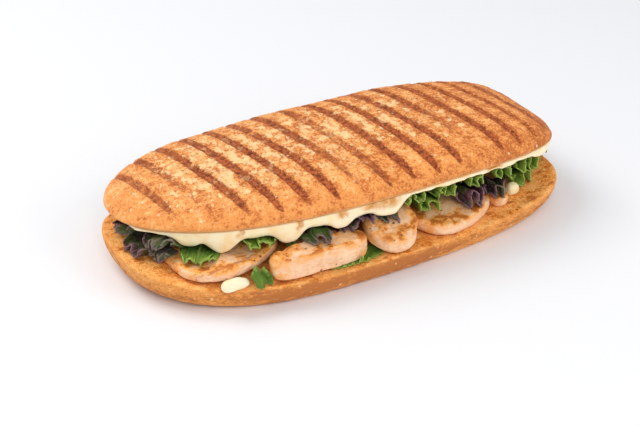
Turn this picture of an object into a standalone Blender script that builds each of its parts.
"""Grilled chicken panini.

A long pressed roll is cut through its side. Between its two halves lie slices of grilled
chicken, frilled salad leaves and a sheet of melted cheese that drips over the edges.
+X runs along the roll, -Y is the side that gapes open, +Z is up. Lengths are in metres.
"""

import math

import bmesh
import bpy
import numpy as np

MM = 0.001
GAP = 0.3 * MM                      # clearance kept between pieces that touch

# The roll's plan, shared by both halves
LOAF_LENGTH = 218.7 * MM
LOAF_WIDTH = 102.2 * MM
LOAF_BEND = 9.3 * MM                # both ends curve towards the back
LOAF_TAPER = -0.04                  # the left end is a little wider than the right

# The lower half
BASE_HEIGHT = 10.5 * MM             # height of its cut face at mid length
BASE_RIM_RISE = 5.3 * MM            # how much higher the cut face is at the ends
BASE_FOOT_RISE = 4.1 * MM           # how far the underside lifts at the ends
BASE_FOOT_FLAT = 0.45               # share of the half length that rests flat
BASE_UNDERCUT = 5.8 * MM            # how far the side crust curves in under the rim
BASE_POWERS = (2.75, 5.4)           # squareness of the plan at the left and right end
RIM_SAG = 0.25 / MM                 # sag for the square of the distance past its front rim

# The upper half, lifted open at the front
LID_CROWN = 16.0 * MM               # height of the dome over its own cut edge
LID_CROWN_POWER = 2.62
LID_BACK_RISE = 0.263               # the plate pressed the front flatter than the back
LID_RIGHT_RISE = 0.097              # and the left end flatter than the right
LID_DROOP = (1.1 * MM, 6.6 * MM)    # how far the left and right ends hang
LID_POWERS = (2.3, 3.8)
LID_CENTRE = (4.2 * MM, 9.5 * MM, 29.1 * MM)
LID_TURN = math.radians(-3.2)
LID_TILT = math.radians(-6.1)
LID_ROLL = math.radians(-1.9)
RIM_ROUND = 1.4 * MM                # rounding of the cut edges
RIM_SHARE = 0.965                   # share of the half width where a cut face meets its rounding

# Grooves that the grill's ribs pressed into the crust
RIB_COUNT = 15
RIB_PITCH = 12.56 * MM
RIB_FIRST = -93.2 * MM
RIB_SKEW = 0.18                     # sideways run of a groove for each metre across
RIB_WIDTH = 4.6 * MM
RIB_FLOOR = 2.4 * MM
RIB_DEPTH = 0.8 * MM
RIB_FADE = (3.6 * MM, 7.0 * MM)     # dome height where a groove begins and is full
RIB_REACH = (0.80, 0.93)            # share of the half length where the mesh lines stop leaning

# The melted cheese
CHEESE_THICK = 2.2 * MM
CHEESE_INSET = 1.6 * MM             # its edge lies this far inside the upper rim
CHEESE_LIP = 3.0 * MM               # thickness of the edge that hangs down
CHEESE_LIP_INSIDE = 4.4 * MM        # where the hanging edge has joined the sheet
CHEESE_ENDS = (-0.965, 0.975)       # its two ends as shares of the half length
# How far its edge hangs between drips, as place along the roll and length in mm
CHEESE_HANG = [(-94, 1.2), (-89, 4.4), (4, 4.2), (12, 1.4)]
# Drips as place along the roll, half width and extra length in mm
FRONT_DRIPS = [(-86, 4, 2.0), (-73.5, 5.5, 5.8), (-46, 5.5, 5.2), (-22, 5.5, 3.4), (1.5, 7.5, 3.8),
               (33, 5.5, 1.2), (52, 4.5, 1.0), (67, 5.5, 1.4), (92, 8, 2.6)]
BACK_DRIPS = [(-82, 6, 1.5), (-58, 7, 1.2), (-32, 5.5, 2.8), (-6, 7, 1.4), (22, 5.5, 4.8),
              (49, 7, 2.6), (78, 6, 3.4)]

# Chicken slices: centre x and y, height of the underside, half length, half depth, thickness,
# turn in degrees, squareness, rise along x, rise along y, curl of the ends, centre of the curl
SLICES = {
    "chicken_front_1": (-69.5, -17.5, 13.9, 24.0, 20.5, 4.9, 6, 2.3, 0.05, -0.02, 1.4, -3.0),
    "chicken_front_2": (-33.0, -41.8, 11.9, 22.8, 5.8, 10.8, 0, 3.4, 0.00, 0.00, 0.0, 0.0),
    "chicken_front_3": (5.2, -36.8, 14.6, 13.0, 13.8, 7.2, -20, 1.8, 0.05, 0.27, 1.0, 2.0),
    "chicken_front_4": (41.0, -30.0, 11.4, 22.0, 16.0, 6.0, 24, 2.5, 0.00, 0.03, 0.6, 0.0),
    "chicken_front_5": (66.4, -33.8, 11.6, 4.2, 4.0, 4.6, 20, 2.2, 0.02, 0.00, 0.0, 0.0),
    "chicken_middle_1": (-24.5, -10.0, 11.4, 18.0, 19.5, 7.0, 8, 2.6, 0.00, 0.00, 0.5, 0.0),
    "chicken_middle_2": (7.5, -0.5, 11.3, 11.5, 20.0, 8.0, -5, 2.6, 0.00, 0.00, 0.4, 0.0),
    "chicken_back_1": (-67.5, 22.5, 12.7, 22.0, 15.5, 5.0, 5, 2.5, 0.00, -0.01, 0.8, 6.0),
    "chicken_back_2": (-25.0, 28.5, 11.3, 18.5, 15.5, 6.0, -4, 2.7, 0.00, 0.00, 0.6, 0.0),
    "chicken_back_3": (12.0, 34.5, 11.2, 16.0, 11.5, 6.4, 3, 2.8, 0.00, 0.00, 0.4, 0.0),
    "chicken_back_4": (45.5, 18.5, 11.4, 17.5, 19.0, 6.6, 6, 2.3, 0.01, 0.00, 0.8, 0.0),
    "chicken_back_5": (77.0, 14.0, 12.9, 11.5, 14.5, 7.0, 12, 2.4, 0.05, 0.00, 0.5, 0.0),
}
SLICE_SHOULDER = 0.92               # where a slice's flat faces turn down, as a share of its radius
SLICE_BULGE = 0.03                  # unevenness of a slice's outline

# Salad leaves: colour, inner end x and y, outer end x and y, half width, lowest and highest share
# of the room between chicken and cheese, height of the ruffles, number of ruffles, phase,
# and how far the outer end hangs down
LEAVES = {
    "leaf_red_1": ("red", -78, 20, -105, 15, 8.5, 0.50, 1.0, 2.5, 2.2, 0.4, 0),
    "leaf_red_2": ("red", -79, 10, -104.5, -1.5, 11.5, 0.0, 0.44, 2.0, 2.4, 2.0, 0),
    "leaf_red_3": ("red", -73, 3, -98, -9.5, 10.5, 0.54, 1.0, 2.5, 2.4, 1.0, 0),
    "leaf_green_4": ("green", -69.5, -3, -85, -28.3, 9, 0.14, 0.46, 2.5, 2.4, 3.1, 0),
    "leaf_green_5": ("green", -49, 2, -57, -37.5, 10, 0.52, 1.0, 2.5, 2.1, 0.2, 0),
    "leaf_green_6": ("green", -38, 1, -41, -31, 8.5, 0.0, 0.45, 3.0, 1.9, 4.0, 0),
    "leaf_red_7": ("red", -31, 2, -31.5, -45, 9.5, 0.50, 1.0, 3.5, 2.3, 1.6, 2.5),
    "leaf_red_8": ("red", -14, 1, -16, -42, 7.5, 0.14, 0.54, 3.0, 1.8, 5.0, 0),
    "leaf_red_9": ("red", 5.5, 2, 5.5, -41.5, 8.2, 0.16, 0.52, 3.0, 1.8, 0.8, 0),
    "leaf_green_10": ("green", 18, 2, 18, -41, 9, 0.62, 1.0, 3.5, 2.4, 2.6, 0),
    "leaf_green_11": ("green", 27, 1, 27, -40, 9, 0.20, 0.56, 3.5, 2.0, 0.1, 0),
    "leaf_green_12": ("green", 34.5, 2, 35, -41, 7.6, 0.62, 1.0, 4.0, 2.5, 3.6, 0),
    "leaf_red_13": ("red", 48, 1, 50, -42, 8, 0.0, 0.50, 3.5, 2.2, 1.9, 0),
    "leaf_green_14": ("green", 50.5, 2, 51, -39.5, 8, 0.62, 1.0, 4.0, 2.3, 5.2, 0),
    "leaf_red_15": ("red", 63, -11, 64, -39.5, 6.3, 0.02, 0.44, 3.0, 1.8, 0.7, 0),
    "leaf_green_16": ("green", 84.5, -1, 89, -30, 9, 0.50, 1.0, 4.5, 2.6, 2.9, 0),
    "leaf_green_17": ("green", 82, -8, 88, -28.5, 8.5, 0.02, 0.46, 3.5, 2.0, 1.2, 0),
    "leaf_green_18": ("green", 92, 8, 108, -14, 6.5, 0.20, 0.80, 2.0, 1.8, 4.4, 0),
    "leaf_red_19": ("red", -88.5, -11, -97.5, -15, 4.5, 0.0, 0.36, 1.5, 1.9, 0.9, 0),
    "leaf_green_20": ("green", -58, 11, -68, 50, 11, 0.52, 1.0, 2.5, 2.6, 1.7, 0),
    "leaf_red_21": ("red", -50, 12, -52, 48, 12, 0.0, 0.46, 2.5, 2.2, 3.3, 0),
    "leaf_green_22": ("green", -32, 8, -34, 54, 13.5, 0.54, 1.0, 3.0, 2.7, 0.6, 0),
    "leaf_red_23": ("red", -11, 8, -12, 50, 12, 0.0, 0.46, 3.0, 2.3, 2.2, 0),
    "leaf_green_24": ("green", 12, 8, 10, 55, 13, 0.54, 1.0, 3.0, 2.5, 4.9, 0),
    "leaf_red_25": ("red", 32, 6, 33, 48, 12, 0.0, 0.46, 3.0, 2.2, 1.1, 0),
    "leaf_green_26": ("green", 53, 6, 54, 51, 13, 0.54, 1.0, 3.5, 2.6, 3.9, 0),
    "leaf_red_27": ("red", 72, 8, 76, 41, 11, 0.0, 0.46, 3.0, 2.1, 0.3, 0),
    "leaf_green_28": ("green", 86, 17, 104, 25, 9, 0.30, 1.0, 3.0, 2.2, 2.4, 0),
    "leaf_red_31": ("red", -8, 2, -8, -43, 9, 0.62, 1.0, 3.0, 2.0, 4.2, 0),
    "leaf_green_32": ("green", 67, 2, 68.5, -37.5, 7.6, 0.60, 1.0, 3.5, 2.4, 0.9, 0),
}
LEAF_THICK = 0.7 * MM
LEAF_COLUMNS = 8
LEAF_ROWS = 4
LEAF_MARGIN = 0.8 * MM              # a leaf's middle stays this far inside its share of the room
FALL_START = 0.8 * MM               # leaves begin to fall away this far outside a slice
FALL_END = 8.0 * MM                 # and reach the bread this far outside it

COLOURS = {
    "crust": (0.62, 0.27, 0.08),
    "cheese": (0.86, 0.76, 0.48),
    "chicken": (0.72, 0.47, 0.28),
    "green": (0.10, 0.23, 0.03),
    "red": (0.10, 0.03, 0.04),
    "rib": (0.80, 0.76, 0.55),
}
ROUGHNESS = {"crust": 0.6, "cheese": 0.35, "chicken": 0.45, "green": 0.4, "red": 0.4, "rib": 0.4}


def material(kind):
    """One Principled material for each kind of food."""
    found = bpy.data.materials.get(kind)
    if found:
        return found
    made = bpy.data.materials.new(kind)
    made.use_nodes = True
    shader = made.node_tree.nodes["Principled BSDF"]
    shader.inputs["Base Color"].default_value = (*COLOURS[kind], 1.0)
    shader.inputs["Roughness"].default_value = ROUGHNESS[kind]
    shader.inputs["Metallic"].default_value = 0.0
    return made


def smooth(value, low, high):
    """Rises from 0 at low to 1 at high along a soft S curve."""
    share = np.clip((value - low) / (high - low), 0.0, 1.0)
    return share * share * (3.0 - 2.0 * share)


def half_width(along, powers):
    """The plan's half width as a share, at a share of the half length from -1 to 1."""
    power = powers[0] + (powers[1] - powers[0]) * (0.5 + 0.5 * along)
    return (1.0 - np.abs(along) ** power) ** (1.0 / power)


def plan(along, across, inset=0.0):
    """The plan point of a share of the half length and a share of the half width."""
    x = along * (LOAF_LENGTH / 2 - inset)
    y = across * (LOAF_WIDTH / 2 - inset)
    bent = y * (1.0 + LOAF_TAPER * along) + LOAF_BEND * along * along
    return x, bent


def stations(count, powers):
    """Places along the roll that are evenly spaced round its outline."""
    turn = np.linspace(0.0, math.pi, 4001)
    power = powers[0] + (powers[1] - powers[0]) * (0.5 - 0.5 * np.cos(turn))
    along = -np.sign(np.cos(turn)) * np.abs(np.cos(turn)) ** (2.0 / power)
    step_x = np.diff(along) * LOAF_LENGTH
    step_y = np.diff(half_width(np.clip(along, -1, 1), powers)) * LOAF_WIDTH
    length = np.concatenate([[0.0], np.cumsum(np.hypot(step_x, step_y))])
    return np.interp(np.linspace(0.0, length[-1], count), length, along)


def ringed_form(name, kind, place, ring_count, station_count):
    """A sphere whose rings and poles are moved to place(station, ring), then closed again."""
    mesh = bpy.data.meshes.new(name)
    skin = bmesh.new()
    bmesh.ops.create_uvsphere(skin, u_segments=ring_count, v_segments=station_count, radius=1.0)
    points = np.array([vertex.co for vertex in skin.verts])
    height = np.clip(points[:, 2], -1.0, 1.0)
    station = np.rint((1.0 - np.arccos(height) / math.pi) * station_count).astype(int)
    turn = np.arctan2(-points[:, 0], points[:, 1]) / (2.0 * math.pi)
    ring = np.rint(turn * ring_count).astype(int) % ring_count
    for vertex, target in zip(skin.verts, place(station, ring)):
        vertex.co = target
    bmesh.ops.triangulate(skin, faces=skin.faces)
    bmesh.ops.recalc_face_normals(skin, faces=skin.faces)
    skin.to_mesh(mesh)
    skin.free()
    return finished(name, mesh, kind)


def finished(name, mesh, kind):
    """A smooth shaded object of one material, in the panini's collection."""
    mesh.materials.append(material(kind))
    mesh.shade_smooth()
    made = bpy.data.objects.new(name, mesh)
    bpy.data.collections["panini"].objects.link(made)
    return made


# The lower half of the roll

def base_top(x):
    """Height of the lower half's cut face, which rises towards both ends."""
    return BASE_HEIGHT + BASE_RIM_RISE * np.abs(2.0 * x / LOAF_LENGTH) ** 4


def base_foot(x):
    """Height of the underside: flat in the middle, lifted at the ends."""
    beyond = (np.abs(2.0 * x / LOAF_LENGTH) - BASE_FOOT_FLAT) / (1.0 - BASE_FOOT_FLAT)
    return BASE_FOOT_RISE * np.clip(beyond, 0.0, None) ** 2


def base_half():
    """Rim, side crust, underside and cut face in one ring, carried along the roll."""
    wall = np.radians([0.0, 22.0, 45.0, 68.0, 90.0])
    front = [(-1.0, 1.0 - math.cos(angle), 1.0 - math.sin(angle)) for angle in wall]
    under = [(across, 1.0, 0.0) for across in (-0.5, 0.0, 0.5)]
    back = [(-across, depth, height) for across, depth, height in reversed(front)]
    face = [(across, 0.0, 1.0) for across in (RIM_SHARE, 0.7, 0.25, -0.25, -0.7, -RIM_SHARE)]
    ring_shape = np.array(front + under + back + face)
    along_all = stations(35, BASE_POWERS)
    rim_rows = (0, len(front) + len(under) + len(back) - 1)

    def place(station, ring):
        along = along_all[station]
        across, undercut, height = ring_shape[ring].T
        tip = (station == 0) | (station == len(along_all) - 1)
        undercut = np.where(tip, 0.3, undercut)
        height = np.where(tip, 0.4, height)
        x, y = plan(along, across * half_width(along, BASE_POWERS), BASE_UNDERCUT * undercut)
        low = base_foot(x)
        high = base_top(x) - RIM_ROUND * np.isin(ring, rim_rows)
        return np.stack([x, y, low + (high - low) * height], axis=-1)

    return ringed_form("bread_bottom", "crust", place, len(ring_shape), len(along_all) - 1)


# The upper half of the roll

def droop(along):
    """How far the upper half hangs below its own cut plane towards an end."""
    return np.where(along < 0, LID_DROOP[0], LID_DROOP[1]) * np.abs(along) ** 3


def dome_height(along, across):
    """Height over the cut plane: a power curve of the distance, higher at the back and right."""
    power = LID_POWERS[0] + (LID_POWERS[1] - LID_POWERS[0]) * (0.5 + 0.5 * along)
    reach = np.clip((np.abs(along) ** power + np.abs(across) ** power) ** (1 / power), 0, 1)
    height = LID_CROWN * (1.0 - reach ** LID_CROWN_POWER) ** (1 / LID_CROWN_POWER)
    return height * (1.0 + LID_BACK_RISE * across + LID_RIGHT_RISE * along)


def rib_groove(x, y, height):
    """Depth of the pressed grooves, which fade out down the sides of the dome."""
    phase = (x + RIB_SKEW * y - RIB_FIRST) / RIB_PITCH
    number = np.clip(np.rint(phase), 0, RIB_COUNT - 1)
    away = np.abs(phase - number) * RIB_PITCH
    return RIB_DEPTH * (1.0 - smooth(away, RIB_FLOOR / 2, RIB_WIDTH / 2)) * smooth(height, *RIB_FADE)


def crust_swell(x, y):
    """Slow unevenness of the crust."""
    return 0.5 * MM * (np.sin(x / (17 * MM) + 1.0) * np.sin(y / (21 * MM) + 0.4)
                       + 0.6 * np.sin(x / (9 * MM) + y / (13 * MM)))


def lid_stations():
    """Four lines for each groove, and lines evenly round the outline at the two ends."""
    groove_lines = []
    for number in range(RIB_COUNT):
        middle = RIB_FIRST + number * RIB_PITCH
        for side in (-RIB_WIDTH, -RIB_FLOOR, RIB_FLOOR, RIB_WIDTH):
            groove_lines.append((middle + side / 2) * 2.0 / LOAF_LENGTH)
    outline = stations(58, LID_POWERS)
    left = outline[outline < groove_lines[0] - 0.01]
    right = outline[outline > groove_lines[-1] + 0.02]
    return np.concatenate([left, groove_lines, right])


def lid_half():
    """The dome over the cut plane, with the grooves lying along lines of the mesh."""
    dome_steps = 13
    ring_count = dome_steps + 6
    along_all = lid_stations()
    under = np.array([-RIM_SHARE, -0.6, 0.0, 0.6, RIM_SHARE])

    def place(station, ring):
        line = along_all[station]
        on_dome = ring <= dome_steps
        share = np.where(on_dome, np.cos(math.pi * ring / dome_steps), 0.0)
        share = np.where(on_dome, share, under[np.clip(ring - dome_steps - 1, 0, 4)])
        lean = RIB_SKEW * (1.0 - smooth(np.abs(line), *RIB_REACH)) * LOAF_WIDTH / LOAF_LENGTH
        along = line
        for _ in range(6):
            across = share * half_width(np.clip(along, -1, 1), LID_POWERS)
            along = np.clip(line - lean * across, -1.0, 1.0)
        across = share * half_width(along, LID_POWERS)
        height = dome_height(along, across)
        x, y = plan(along, across)
        surface = height + crust_swell(x, y) * smooth(height, 3 * MM, 10 * MM) - rib_groove(x, y, height)
        rounded = np.maximum(surface, RIM_ROUND)
        z = np.where(on_dome, rounded, 0.0) - droop(along)
        return np.stack([x, y, z], axis=-1)

    lid = ringed_form("bread_top", "crust", place, ring_count, len(along_all) - 1)
    lid.location = LID_CENTRE
    lid.rotation_euler = (LID_TILT, LID_ROLL, LID_TURN)
    return lid


def lid_frame(x, y):
    """The upper half's own coordinates above a point of the plan."""
    dx = x - LID_CENTRE[0]
    dy = y - LID_CENTRE[1]
    own_x = (math.cos(LID_TURN) * dx + math.sin(LID_TURN) * dy) / math.cos(LID_ROLL)
    own_y = (-math.sin(LID_TURN) * dx + math.cos(LID_TURN) * dy) / math.cos(LID_TILT)
    return own_x, own_y


def lid_under(x, y):
    """Height of the upper half's cut face."""
    own_x, own_y = lid_frame(x, y)
    tilted = LID_CENTRE[2] - math.sin(LID_ROLL) * own_x + math.sin(LID_TILT) * own_y
    return tilted - droop(2.0 * own_x / LOAF_LENGTH)


# The cheese

def drip_hang(own_x, drips):
    """How far the cheese hangs below the cut face along one edge."""
    place, length = np.transpose(CHEESE_HANG)
    hang = np.interp(own_x / MM, place, length)
    for middle, half, extra in drips:
        hang = hang + extra * np.exp(-np.abs((own_x / MM - middle) / half) ** 2.6)
    return hang * MM


def cheese_edge(own_x):
    """The front and back edges of the cheese in the upper half's coordinates."""
    along = np.clip(2.0 * own_x / LOAF_LENGTH, -1.0, 1.0)
    reach = half_width(along, LID_POWERS)
    return plan(along, -reach)[1] + CHEESE_INSET, plan(along, reach)[1] - CHEESE_INSET


def cheese_sheet():
    """A sheet under the upper half, with a rounded edge that hangs in drips on both sides."""
    # Each ring point: side of the roll, distance in from the edge in lips, share of the hang
    front = [(-1, 0.0, 0.0), (-1, -0.23, 0.5), (-1, -0.07, 0.92), (-1, 0.4, 1.0), (-1, 0.9, 0.88)]
    back = [(1, inward, share) for _, inward, share in reversed(front)]
    inside = CHEESE_LIP_INSIDE / CHEESE_LIP
    below = [(-1, inside, 0.0), (-1, 0.0, 0.0), (1, inside, 0.0)]
    ring_shape = np.array(front + below + back + [(1, 0.0, 0.0)])
    below_rows = (5, 6, 7)
    middle_rows = (6, 13)
    outline = stations(66, LID_POWERS)
    along_all = outline[(outline > CHEESE_ENDS[0]) & (outline < CHEESE_ENDS[1])]

    def place(station, ring):
        own_x = along_all[station] * LOAF_LENGTH / 2
        front_edge, back_edge = cheese_edge(own_x)
        side, inward, share = ring_shape[ring].T
        edge = np.where(side < 0, front_edge, back_edge)
        hang = np.where(side < 0, drip_hang(own_x, FRONT_DRIPS), drip_hang(own_x, BACK_DRIPS))
        end = (station == 0) | (station == len(along_all) - 1)
        y = edge - side * inward * CHEESE_LIP
        z = -GAP - hang * share
        y = np.where(np.isin(ring, middle_rows), (front_edge + back_edge) / 2, y)
        z = np.where(np.isin(ring, below_rows), -GAP - CHEESE_THICK, z)
        y = np.where(end, (front_edge + back_edge) / 2, y)
        z = np.where(end, -GAP - CHEESE_THICK / 2, z) - droop(2.0 * own_x / LOAF_LENGTH)
        return np.stack([own_x, y, z], axis=-1)

    sheet = ringed_form("cheese_sheet", "cheese", place, len(ring_shape), len(along_all) - 1)
    sheet.location = LID_CENTRE
    sheet.rotation_euler = (LID_TILT, LID_ROLL, LID_TURN)
    return sheet


def cheese_under(x, y):
    """Height of the cheese's underside, with the drips widened so that leaves pass below them."""
    own_x, own_y = lid_frame(x, y)
    front_edge, back_edge = cheese_edge(own_x)
    clear = CHEESE_LIP_INSIDE * 2.5
    near_front = 1.0 - smooth(own_y - front_edge, CHEESE_LIP_INSIDE, clear)
    near_back = 1.0 - smooth(back_edge - own_y, CHEESE_LIP_INSIDE, clear)
    front_hang = drip_hang(own_x, FRONT_DRIPS) - CHEESE_THICK
    back_hang = drip_hang(own_x, BACK_DRIPS) - CHEESE_THICK
    lowered = np.maximum(front_hang, 0.0) * near_front + np.maximum(back_hang, 0.0) * near_back
    return lid_under(x, y) - GAP - CHEESE_THICK - lowered


# The chicken

def slice_radius(turn, half_length, half_depth, power):
    """Outline of a slice in polar form: a squarish oval with a slow wobble."""
    oval = (np.abs(np.cos(turn) / half_length) ** power + np.abs(np.sin(turn) / half_depth) ** power)
    wobble = 1.0 + SLICE_BULGE * (np.sin(2 * turn + half_length * 900) + np.sin(3 * turn + half_depth * 700))
    return oval ** (-1.0 / power) * wobble


def slice_values(name):
    """A slice's sizes in metres and radians."""
    x, y, z, half_length, half_depth, thick, turn, power, rise_x, rise_y, curl, curl_at = SLICES[name]
    sizes = [value * MM for value in (x, y, z, half_length, half_depth, thick, curl, curl_at)]
    return sizes, math.radians(turn), power, rise_x, rise_y


def slice_under(name, x, y):
    """Height of a slice's underside, as if it ran on beyond its outline."""
    sizes, _, _, rise_x, rise_y = slice_values(name)
    centre_x, centre_y, low, half_length, _, _, curl, curl_at = sizes
    bowed = curl * ((x - centre_x - curl_at) / half_length) ** 2
    return low + rise_x * (x - centre_x) + rise_y * (y - centre_y) + bowed


def slice_outside(name, x, y):
    """How far a plan point lies outside an outline: the radial distance, made shorter by its slant."""
    sizes, turned, power, _, _ = slice_values(name)
    centre_x, centre_y, _, half_length, half_depth = sizes[:5]
    direction = np.arctan2(y - centre_y, x - centre_x) - turned
    outward = np.hypot(x - centre_x, y - centre_y)
    radius = slice_radius(direction, half_length, half_depth, power)
    ahead = slice_radius(direction + 0.01, half_length, half_depth, power)
    slant = (ahead - radius) / (0.01 * radius)
    return (outward - radius) / np.sqrt(1.0 + slant * slant)


def chicken_slice(name):
    """A flat slice with rounded edges, gently tilted and curled where it lies on others."""
    sizes, turned, power, _, _ = slice_values(name)
    centre_x, centre_y, _, half_length, half_depth, thick = sizes[:6]
    profile = np.array([(0.0, 0.0), (0.6, 0.0), (SLICE_SHOULDER, 0.03), (1.0, 0.22), (1.0, 0.78),
                        (SLICE_SHOULDER, 0.97), (0.6, 1.0), (0.0, 1.0)])
    around = 18

    def place(station, ring):
        reach, height = profile[station].T
        turn = 2.0 * math.pi * ring / around
        radius = reach * slice_radius(turn, half_length, half_depth, power)
        x = centre_x + radius * np.cos(turn + turned)
        y = centre_y + radius * np.sin(turn + turned)
        z = slice_under(name, x, y) + thick * height
        return np.stack([x, y, z], axis=-1)

    return ringed_form(name, "chicken", place, around, len(profile) - 1)


# The salad leaves

def floor_below(x, y):
    """What leaves lie on: the bread, or the chicken with a soft fall beside each slice."""
    bread = base_top(x)
    floor = bread
    for name in SLICES:
        thick = slice_values(name)[0][5]
        top = slice_under(name, x, y) + thick
        fall = 1.0 - smooth(slice_outside(name, x, y), FALL_START, FALL_END)
        floor = np.maximum(floor, bread + (top - bread) * fall)
    return floor


def leaf_plan(across, out, start, end, half):
    """Plan of a leaf: along its rib from start to end, with a blunt frilled outer edge."""
    direction = (end - start) / np.linalg.norm(end - start)
    sideways = np.array([-direction[1], direction[0]])
    length = np.linalg.norm(end - start) * (1.0 - 0.18 * across ** 2 + 0.04 * np.sin(7.0 * across))
    width = half * (0.62 + 0.38 * np.sin(math.pi * (0.1 + 0.75 * out)))
    x = start[0] + direction[0] * length * out + sideways[0] * across * width
    y = start[1] + direction[1] * length * out + sideways[1] * across * width
    return x, y


def leaf_height(x, y, across, out, low_share, high_share, ruffle, waves, phase, hang):
    """A leaf follows its share of the room between chicken and cheese, ruffled at its edges."""
    floor = floor_below(x, y) + GAP
    room = cheese_under(x, y) - GAP - floor
    middle = floor + room * (low_share + high_share) / 2
    half_room = room * (high_share - low_share) / 2 - LEAF_MARGIN
    frill = 1.0 - (1.0 - out ** 2) * (1.0 - np.abs(across) ** 3)
    height = np.minimum(ruffle * MM, np.maximum(half_room, 0.0))
    wavy = middle + height * frill * np.sin(math.pi * waves * across + phase + 1.5 * out)
    return np.maximum(wavy - hang * MM * smooth(out, 0.65, 1.0), floor + LEAF_THICK / 2)


def leaf_sheet(name, kind, shape):
    """A grid bent to shape(across, out) and thickened evenly on both faces."""
    mesh = bpy.data.meshes.new(name)
    sheet = bmesh.new()
    bmesh.ops.create_grid(sheet, x_segments=LEAF_COLUMNS, y_segments=LEAF_ROWS, size=1.0)
    points = np.array([vertex.co for vertex in sheet.verts])
    out = points[:, 1] / 2 + 0.5
    x, y, z = shape(points[:, 0], out * (1.35 - 0.35 * out))
    for vertex, target in zip(sheet.verts, np.stack([x, y, z], axis=-1)):
        vertex.co = target
    bmesh.ops.triangulate(sheet, faces=sheet.faces)
    sheet.to_mesh(mesh)
    sheet.free()
    made = finished(name, mesh, kind)
    thicken = made.modifiers.new("thickness", "SOLIDIFY")
    thicken.thickness = LEAF_THICK
    thicken.offset = 0.0
    return made


def salad_leaf(name):
    """One leaf of the mixed salad in the room between chicken and cheese."""
    kind, x0, y0, x1, y1, half, low, high, ruffle, waves, phase, hang = LEAVES[name]
    start = np.array([x0, y0]) * MM
    end = np.array([x1, y1]) * MM

    def shape(across, out):
        x, y = leaf_plan(across, out, start, end, half * MM)
        return x, y, leaf_height(x, y, across, out, low, high, ruffle, waves, phase, hang)

    return leaf_sheet(name, kind, shape)


def leaf_below_chicken():
    """The green frill that peeps out under the second and third slices."""
    start = np.array([-17.0, -36.0]) * MM
    end = np.array([-17.0, -49.0]) * MM

    def shape(across, out):
        x, y = leaf_plan(across, out, start, end, 15 * MM)
        free = smooth(-y, 47.5 * MM, 49.5 * MM)
        lift = 1.1 * MM * free * (1.0 + np.sin(5.5 * math.pi * across))
        return x, y, base_top(x) + GAP + LEAF_THICK / 2 + lift

    return leaf_sheet("leaf_green_29", "green", shape)


def leaf_between_slices():
    """The curled green leaf that leans up between the first two slices."""
    start = np.array([-61.8, -45.5]) * MM
    end = np.array([-61.8, -39.5]) * MM

    def shape(across, out):
        x = start[0] + (end[0] - start[0]) * out + 3.6 * MM * across
        y = start[1] + (end[1] - start[1]) * out + 1.5 * MM * np.sin(3.6 * across + 2.0 * out)
        ruffle = 0.9 * MM * np.sin(5.0 * across + 3.0 * out) * out
        return x, y, base_top(x) + GAP + LEAF_THICK + 5.8 * MM * out + ruffle

    return leaf_sheet("leaf_green_30", "green", shape)


def rim_sag(x, y):
    """How far soft food sinks where it reaches out past the lower half's front rim."""
    along = 2.0 * x / LOAF_LENGTH
    rim_y = plan(along, -half_width(along, BASE_POWERS))[1]
    beyond = np.maximum(rim_y - y, 0.0)
    return RIM_SAG * beyond ** 2


def small_blob(name, kind, centre, half_sizes, height):
    """A rounded lump that lies on the bread."""
    profile = np.array([(0.0, 0.0), (0.7, 0.0), (1.0, 0.25), (0.85, 0.7), (0.5, 0.95), (0.0, 1.0)])
    around = 12

    def place(station, ring):
        reach, rise = profile[station].T
        turn = 2.0 * math.pi * ring / around
        radius = reach * slice_radius(turn, half_sizes[0] * MM, half_sizes[1] * MM, 2.3)
        x = centre[0] * MM + radius * np.cos(turn)
        y = centre[1] * MM + radius * np.sin(turn)
        z = base_top(x) + GAP + height * MM * rise - rim_sag(x, y)
        return np.stack([x, y, z], axis=-1)

    return ringed_form(name, kind, place, around, len(profile) - 1)


def stand_at_origin(pieces):
    """Hang every piece on one empty and move that so the origin is below the middle of the box."""
    holder = bpy.data.objects.new("panini", None)
    bpy.data.collections["panini"].objects.link(holder)
    for piece in pieces:
        piece.parent = holder
    bpy.context.view_layer.update()
    corners = []
    for piece in pieces:
        points = np.array([vertex.co for vertex in piece.data.vertices])
        matrix = np.array(piece.matrix_world)
        placed = points @ matrix[:3, :3].T + matrix[:3, 3]
        corners.append(placed.min(axis=0))
        corners.append(placed.max(axis=0))
    corners = np.array(corners)
    middle = (corners.min(axis=0) + corners.max(axis=0)) / 2
    holder.location = (-middle[0], -middle[1], -corners[:, 2].min())


def main():
    """Build every piece of the panini."""
    for old in list(bpy.data.objects):
        bpy.data.objects.remove(old, do_unlink=True)
    collection = bpy.data.collections.new("panini")
    bpy.context.scene.collection.children.link(collection)
    pieces = [base_half(), lid_half(), cheese_sheet()]
    pieces.append(small_blob("cheese_drop", "cheese", (-73.4, -40.8), (6.6, 2.8), 4.6))
    pieces.append(small_blob("lettuce_rib", "rib", (76.8, -30.0), (3.4, 2.8), 5.0))
    for name in SLICES:
        pieces.append(chicken_slice(name))
    for name in LEAVES:
        pieces.append(salad_leaf(name))
    pieces.append(leaf_below_chicken())
    pieces.append(leaf_between_slices())
    stand_at_origin(pieces)


main()
